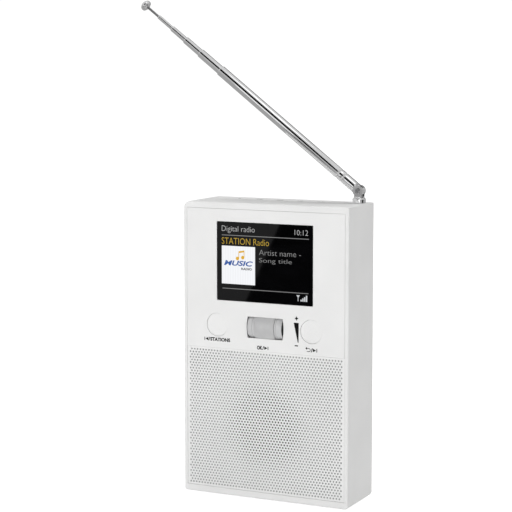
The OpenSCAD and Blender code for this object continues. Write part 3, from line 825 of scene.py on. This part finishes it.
def make_front_print():
    """Labels of the two round buttons and the roller, and the volume wedge."""
    control = centre_mm("left_button")
    front = -box_mm("front_panel")[0].y
    left_x, right_x, z = control.x, centre_mm("right_button").x + 0.9, control.z

    def left_label(bm):
        y = z - 7.7
        ink(bm, *skip_sign(left_x - 6.1, y, 1.7, forward=False), slash(left_x - 4.7, y, 1.9))
        add_text(bm, "STATIONS", (left_x - 4.1, y - 0.95, left_x + 7.4, y + 0.95), INK, bold=0.04)

    def middle_label(bm):
        y = z - 10.2
        add_text(bm, "OK", (-4.1, y - 1.0, -1.1, y + 1.0), INK, bold=0.05)
        ink(bm, slash(-0.6, y, 1.9), *skip_sign(0.9, y, 1.7, forward=True))

    def right_label(bm):
        y = z - 9.3
        bend, outer, inner = right_x - 2.2, 0.95, 0.65
        ink(bm, *ring_band(bend, y, outer, inner, -90, 90, 10))
        ink(bm, rectangle(bend - 1.4, y + inner, bend, y + outer))
        ink(bm, rectangle(bend - 1.1, y - outer, bend, y - inner))
        ink(bm, [(bend - 1.0, y + 0.05), (bend - 1.0, y + 1.55), (bend - 1.9, y + 0.8)])
        ink(bm, slash(right_x - 0.55, y, 2.1), *skip_sign(right_x + 0.9, y, 1.8, forward=True))

    def wedge(bm):
        ink(bm, [(16.5, z + 4.1), (18.8, z - 6.0), (19.2, z - 6.0), (19.3, z + 4.1)])
        ink(bm, rectangle(17.15, z + 6.05, 18.95, z + 6.6))
        ink(bm, rectangle(17.77, z + 5.4, 18.33, z + 7.25), z=INK_STEP)
        ink(bm, rectangle(17.1, z - 7.95, 18.9, z - 7.35))

    for name, draw in (
        ("print_left", left_label), ("print_middle", middle_label),
        ("print_right", right_label), ("print_volume", wedge),
    ):
        flat_piece(name, draw, FRONT, front + INK_GAP, "print_ink")


def make_key_print():
    """Signs on the roof behind the row of keys, each word with its width."""
    top = box_mm("body_shell")[1].z
    words = {
        "mode_key": ("MODE", 3.6), "menu_key": ("MENU", 3.6),
        "info_key": ("INFO", 3.0), "alarm_key": ("ALARM", 4.2),
    }

    def sign_place(node):
        return centre_mm(node).x, box_mm(node)[1].y + 2.1

    def draw(bm):
        x, y = sign_place("power_key")
        ink(bm, *ring_band(x, y, 0.7, 0.5, 120, 420, 20), rectangle(x - 0.1, y + 0.1, x + 0.1, y + 0.9))
        for node, (text, width) in words.items():
            x, y = sign_place(node)
            add_text(bm, text, (x - width / 2, y - 0.5, x + width / 2, y + 0.5), INK)

    flat_piece("print_keys", draw, TOP, top + INK_GAP, "print_ink")


def make_rear_print():
    """Signs above the two rear sockets: headphones and five volts."""
    rear = box_mm("rear_cover")[1].y

    def draw(bm):
        x, y = -centre_mm("headphone_jack").x, box_mm("headphone_jack")[1].z + 4.0
        ink(bm, *ring_band(x, y, 1.6, 1.25, 0, 180, 16))
        for ear in (x - 1.4, x + 1.4):
            ink(bm, rectangle(ear - 0.45, y - 1.3, ear + 0.45, y + 0.1), z=INK_STEP)
        x = -centre_mm("power_socket").x
        add_text(bm, "5 V", (x - 1.9, y - 1.2, x + 1.9, y + 1.2), INK, bold=0.01)

    flat_piece("print_rear", draw, REAR, rear + INK_GAP, "print_ink")


# ---------------------------------------------------------------- roller

ROLLER_SIDES = 96
GRIP_CROWN = 0.12
GRIP_CHAMFER = 0.35

# Step in radius from the CAD outline down to the bands, and the dark disc outside each band
BAND_DROP = 0.2
END_DISC = 0.15


def both_ends(name, profile, place, offset):
    """Turned shape at both ends of local Z; the profile's heights run outwards from offset."""
    bm = bmesh.new()
    for flip in (180, 0):
        end = place @ Matrix.Rotation(math.radians(flip), 4, "X") @ Matrix.Translation((0, 0, offset))
        turned = lathe_mesh("turned", profile, end, ROLLER_SIDES)
        bm.from_mesh(turned)
        bpy.data.meshes.remove(turned)
    mesh = bpy.data.meshes.new(name)
    bm.to_mesh(mesh)
    bm.free()
    return mesh


def make_roller():
    """Satin grip with a slight crown between two grooved bands, each with a dark disc outside it."""
    place = Matrix.Translation(centre_mm("wheel_roller")) @ Matrix.Rotation(math.radians(90), 4, "Y")
    low, high = box_mm("wheel_roller")
    half, radius = (high.x - low.x) / 2, (high.z - low.z) / 2
    grip = [(-half, 0), (-half, radius - GRIP_CHAMFER)]
    for i in range(9):
        along = -1 + i / 4
        grip.append((along * (half - GRIP_CHAMFER), radius - GRIP_CROWN * along ** 2))
    grip += [(half, radius - GRIP_CHAMFER), (half, 0)]
    mesh = lathe_mesh("roller_grip", grip, place, ROLLER_SIDES)
    add_object("roller_grip", mesh, "roller_satin", "roller", ["wheel_roller"])

    low, high = box_mm("wheel_end_rings")
    edge = (high.z - low.z) / 2 - BAND_DROP
    length = (high.x - low.x) / 2 - half - END_DISC
    band = [
        (0, 0), (0, edge - 0.25), (0.12, edge - 0.06), (0.4, edge), (0.95, edge),
        (1.1, edge - 0.22), (1.3, edge - 0.22), (1.45, edge - 0.02),
        (2.6, edge - 0.1), (3.05, edge - 0.25), (length, edge - 0.5), (length, 0),
    ]
    disc = [(length, 0), (length, edge - 0.5), (length + END_DISC, edge - 0.7), (length + END_DISC, 0)]
    bands, discs = both_ends("roller_bands", band, place, half), both_ends("roller_ends", disc, place, half)
    add_object("roller_bands", bands, "ring_silver", "roller", ["wheel_end_rings"])
    add_object("roller_ends", discs, "switch_black", "roller")


# ---------------------------------------------------------------- antenna

TUBE_RADIUS = 2.75
TUBE_WALL = 0.325
TUBE_GAP = 0.1
ROD_RADIUS = 0.65
PIN_RADIUS = 0.9
PIN_HEAD = 0.4

# Ring grooves near the foot of the first tube, by their distance from the tilt pivot
CRIMPS = (10.4, 13.7)
CRIMP_WIDTH = 1.1
CRIMP_DEPTH = 0.28


def arm_line():
    """The tilt pivot in metres and the direction from it to the antenna's tip."""
    return Vector(joint("antenna_tilt")["pos_m"]), Vector(joint("section_2_slide")["axis"])


def arm_place():
    """Local +Z runs from the tilt pivot towards the antenna's tip."""
    pivot, along = arm_line()
    return Matrix.Translation(pivot / MM) @ along.to_track_quat("Z", "Y").to_matrix().to_4x4()


def along_arm(node):
    """First and last distance of a CAD node along the arm, from the pivot."""
    pivot, along = arm_line()
    reach = [(v.co - pivot).dot(along) / MM for v in frame["nodes"][node].data.vertices]
    return min(reach), max(reach)


def crimp(at, radius):
    """Points of a rounded ring groove."""
    turns = [i / 8 for i in range(9)]
    return [
        (at + (turn - 0.5) * CRIMP_WIDTH, radius - CRIMP_DEPTH * math.sin(math.pi * turn) ** 2)
        for turn in turns
    ]


def tube_profile(start, end, radius, crimps):
    """Thin open tube whose far end is rolled in."""
    bore = radius - TUBE_WALL
    profile = [(end - 0.6, bore), (start, bore), (start, radius)]
    for at in crimps:
        profile += crimp(at, radius)
    profile += [
        (end - 0.55, radius), (end - 0.25, radius - 0.05), (end - 0.08, radius - 0.16),
        (end, bore + 0.02), (end - 0.3, bore),
    ]
    return profile


def make_tubes():
    """Five chrome tubes, each inside the one before."""
    place = arm_place()
    radius = TUBE_RADIUS
    for number in range(1, 6):
        node = f"antenna_tube_{number}"
        body = "antenna_arm" if number == 1 else f"antenna_section_{number}"
        profile = tube_profile(*along_arm(node), radius, CRIMPS if number == 1 else ())
        mesh = lathe_mesh(f"tube_{number}", profile, place, segments=48)
        add_object(f"tube_{number}", mesh, "antenna_chrome", body, [node])
        radius -= TUBE_WALL + TUBE_GAP


def make_tip():
    """Thin steel rod and the domed button on its end."""
    start, end = along_arm("antenna_rod")
    rod = [(start, 0), (start, ROD_RADIUS - 0.1), (start + 0.1, ROD_RADIUS), (end, ROD_RADIUS), (end, 0)]
    mesh = lathe_mesh("tip_rod", rod, arm_place(), segments=32)
    add_object("tip_rod", mesh, "rod_steel", "antenna_tip", ["antenna_rod"])
    start, end = along_arm("antenna_cap")
    cap = [
        (start, 0), (start, 1.35), (start + 0.25, 1.75), (start + 0.95, 2.7), (start + 1.3, 2.88),
        (start + 1.75, 2.94), (start + 2.3, 2.86), (start + 2.75, 2.6), (start + 3.3, 1.95),
        (start + 3.75, 1.1), (end, 0),
    ]
    mesh = lathe_mesh("tip_button", cap, arm_place(), segments=64)
    add_object("tip_button", mesh, "antenna_chrome", "antenna_tip", ["antenna_cap"])


def make_rivet():
    """Tilt pin with a domed, grooved head on each side of the post."""
    low, high = box_mm("antenna_pin")
    half, head = (high.y - low.y) / 2, (high.z - low.z) / 2
    place = Matrix.Translation(centre_mm("antenna_pin")) @ FRONT
    dome = [
        (half - PIN_HEAD, PIN_RADIUS), (half - PIN_HEAD, head), (half - 0.2, head - 0.05),
        (half - 0.08, head - 0.35), (half - 0.02, 0.7), (half - 0.25, 0.6), (half - 0.25, 0.25), (half, 0),
    ]
    profile = [(-along, radius) for along, radius in reversed(dome)] + dome
    mesh = lathe_mesh("tilt_rivet", profile, place, segments=48)
    add_object("tilt_rivet", mesh, "rod_steel", "antenna_swivel", ["antenna_pin"])


# ---------------------------------------------------------------- CAD nodes that stay

# Width of the broken edges on each CAD node
EDGES = {
    "body_shell": 0.06, "front_panel": 0.05, "rear_cover": 0.2, "base_foot": 0.25,
    "left_button": 0.1, "right_button": 0.1,
    "power_key": 0.25, "mode_key": 0.25, "menu_key": 0.25, "info_key": 0.25, "alarm_key": 0.25,
    "antenna_bushing": 0.2, "antenna_post": 0.5, "antenna_knuckle": 0.35,
    "rear_screws": 0.1, "headphone_jack": 0.2, "power_socket": 0.08,
}


def soften_cad():
    for node, width in EDGES.items():
        soften(frame["nodes"][node], width)


# ---------------------------------------------------------------- studio

# Metres and degrees; an azimuth of 0 is in front of the radio and grows to its right
CAMERA_PLACE = (0.3608, -0.7685, 0.2278)
CAMERA_LENS = 116.37
CAMERA_PITCH = -5.63
CAMERA_YAW = 25.92
CAMERA_SHIFT = -0.0703

# What the lights and cards are aimed at
AIM = Vector((0, 0, 0.12))

# Lights that the gloss doesn't mirror: azimuth, elevation, distance, size, power
LIGHTS = {
    "front_softbox": (-12, 13, 1.7, 0.8, 7.6),
    "top_softbox": (180, 72, 1.6, 0.8, 12.2),
}

# Cards that only the gloss mirrors: azimuth, elevation, distance, roll, width, height, brightness
CARDS = {
    "antenna_gleam": (-20, 7, 1.7, -35, 0.5, 0.34, 1.3),
    "antenna_top_gleam": (57, 69, 1.2, 0, 0.4, 0.4, 1.6),
    "antenna_flag": (2, 36, 1.2, -34, 0.9, 0.74, 0.0),
    "post_gleam": (23, -2, 0.6, 0, 0.36, 0.14, 1.4),
    "post_flag": (87, -2, 0.6, 0, 0.26, 0.14, 0.0),
    "back_card": (188, 22, 1.2, 0, 0.9, 1.0, 0.1),
}

FLOOR_REACH = 60
FLOOR_GLOW_SEEN = 0.72
FLOOR_GLOW_CAST = 0.40
SKY_SEEN = 1.05
SKY_CAST = 0.50

# Height on the mirrored sky, from nadir to zenith, and its brightness there
SKY_MIRRORED = [(0.0, 0.40), (0.49, 0.42), (0.53, 0.5), (0.75, 0.68), (1.0, 0.72)]


def make_camera():
    camera = bpy.data.cameras.new("camera")
    camera.lens = CAMERA_LENS
    camera.sensor_width = 36
    camera.shift_y = CAMERA_SHIFT
    camera.clip_start = 0.01
    holder = bpy.data.objects.new("camera", camera)
    holder.location = CAMERA_PLACE
    holder.rotation_euler = (math.radians(90 + CAMERA_PITCH), 0, math.radians(CAMERA_YAW))
    COLLECTION.objects.link(holder)
    bpy.context.scene.camera = holder


def direction(azimuth, elevation):
    """Unit vector from the radio towards an azimuth and elevation."""
    a, e = math.radians(azimuth), math.radians(elevation)
    return Vector((math.sin(a) * math.cos(e), -math.cos(a) * math.cos(e), math.sin(e)))


def soft_light(name, azimuth, elevation, distance, size, power):
    light = bpy.data.lights.new(name, "AREA")
    light.shape = "SQUARE"
    light.size = size
    light.energy = power
    holder = bpy.data.objects.new(name, light)
    holder.location = AIM + direction(azimuth, elevation) * distance
    holder.rotation_euler = direction(azimuth, elevation).to_track_quat("Z", "Y").to_euler()
    holder.visible_glossy = False
    COLLECTION.objects.link(holder)


def card(name, corners, brightness):
    """Card of even brightness that only the gloss mirrors."""
    mesh = bpy.data.meshes.new(name)
    mesh.from_pydata([tuple(c) for c in corners], [], [list(range(len(corners)))])
    plane = bpy.data.objects.new(name, mesh)
    COLLECTION.objects.link(plane)
    material = bpy.data.materials.new(name)
    material.use_nodes = True
    tree = material.node_tree
    tree.nodes.clear()
    glow = tree.nodes.new("ShaderNodeEmission")
    glow.inputs["Color"].default_value = (1, 1, 1, 1)
    glow.inputs["Strength"].default_value = brightness
    output = tree.nodes.new("ShaderNodeOutputMaterial")
    tree.links.new(glow.outputs["Emission"], output.inputs["Surface"])
    mesh.materials.append(material)
    plane.visible_camera = False
    plane.visible_diffuse = False
    plane.visible_shadow = False
    plane.visible_transmission = False


def aimed_card(name, azimuth, elevation, distance, roll, width, height, brightness):
    """Card that faces the radio, turned by roll about its own normal."""
    out = direction(azimuth, elevation)
    turn = out.to_track_quat("Z", "Y").to_matrix().to_4x4() @ Matrix.Rotation(math.radians(roll), 4, "Z")
    place = Matrix.Translation(AIM + out * distance) @ turn
    outline = rectangle(-width / 2, -height / 2, width / 2, height / 2)
    card(name, [place @ Vector((x, y, 0)) for x, y in outline], brightness)


def display_flag():
    """Black card that the display mirrors; its slanted left edge leaves the glare beside it."""
    y, bottom, top, right = -1.0, -0.19, 0.06, -0.22
    card("display_flag", [(-0.558, y, bottom), (right, y, bottom), (right, y, top), (-0.440, y, top)], 0.0)


def make_floor():
    """Pale paper, brighter to the camera than to the radio, so that it fades into the white behind."""
    mesh = bpy.data.meshes.new("floor")
    outline = rectangle(-FLOOR_REACH, -FLOOR_REACH, FLOOR_REACH, FLOOR_REACH)
    mesh.from_pydata([(x, y, 0) for x, y in outline], [], [[0, 1, 2, 3]])
    floor = bpy.data.objects.new("floor", mesh)
    COLLECTION.objects.link(floor)
    tree, shader, place = open_material("floor_paper")
    mesh.materials.append(bpy.data.materials["floor_paper"])
    tooth = noise(tree, place, 3)
    tint(tree, shader, tooth, grey(0.71), grey(0.73))
    shader.inputs["Roughness"].default_value = 1.0
    shader.inputs["Specular IOR Level"].default_value = 0.0
    shader.inputs["Emission Color"].default_value = (1, 1, 1, 1)
    seen = tree.nodes.new("ShaderNodeLightPath").outputs["Is Camera Ray"]
    glow = spread(tree, seen, FLOOR_GLOW_CAST, FLOOR_GLOW_SEEN, 0.0, 1.0)
    tree.links.new(glow, shader.inputs["Emission Strength"])
    floor.visible_glossy = False


def make_world():
    """White to the camera, softer for the light on the radio, and graded for what its gloss mirrors."""
    world = bpy.data.worlds.new("studio")
    bpy.context.scene.world = world
    world.use_nodes = True
    tree = world.node_tree
    tree.nodes.clear()
    rays = tree.nodes.new("ShaderNodeLightPath")
    place = tree.nodes.new("ShaderNodeTexCoord").outputs["Generated"]
    axes = tree.nodes.new("ShaderNodeSeparateXYZ")
    tree.links.new(place, axes.inputs["Vector"])
    sky = tree.nodes.new("ShaderNodeValToRGB")
    height = spread(tree, axes.outputs["Z"], 0.0, 1.0, -1.0, 1.0)
    tree.links.new(height, sky.inputs["Fac"])
    elements = sky.color_ramp.elements
    while len(elements) < len(SKY_MIRRORED):
        elements.new(0.5)
    for element, (position, level) in zip(elements, SKY_MIRRORED):
        element.position = position
        element.color = (*grey(level), 1)

    def background(strength, colour=None):
        node = tree.nodes.new("ShaderNodeBackground")
        node.inputs["Color"].default_value = (1, 1, 1, 1)
        node.inputs["Strength"].default_value = strength
        if colour:
            tree.links.new(colour, node.inputs["Color"])
        return node.outputs["Background"]

    def choose(chance, no, yes):
        mix = tree.nodes.new("ShaderNodeMixShader")
        tree.links.new(chance, mix.inputs["Fac"])
        tree.links.new(no, mix.inputs[1])
        tree.links.new(yes, mix.inputs[2])
        return mix.outputs["Shader"]

    mirrored = background(1.0, sky.outputs["Color"])
    others = choose(rays.outputs["Is Glossy Ray"], background(SKY_CAST), mirrored)
    seen = choose(rays.outputs["Is Camera Ray"], others, background(SKY_SEEN))
    output = tree.nodes.new("ShaderNodeOutputWorld")
    tree.links.new(seen, output.inputs["Surface"])


def make_studio():
    """Camera, white surroundings, lights and the cards that shape the gloss."""
    make_camera()
    make_world()
    make_floor()
    for name, values in LIGHTS.items():
        soft_light(name, *values)
    for name, values in CARDS.items():
        aimed_card(name, *values)
    display_flag()
    view = bpy.context.scene.view_settings
    view.view_transform = "Standard"
    view.look = "None"


# ---------------------------------------------------------------- everything

make_studio()
make_materials()
soften_cad()
make_grille()
make_window()
make_picture()
make_front_print()
make_key_print()
make_rear_print()
make_roller()
make_tubes()
make_tip()
make_rivet()
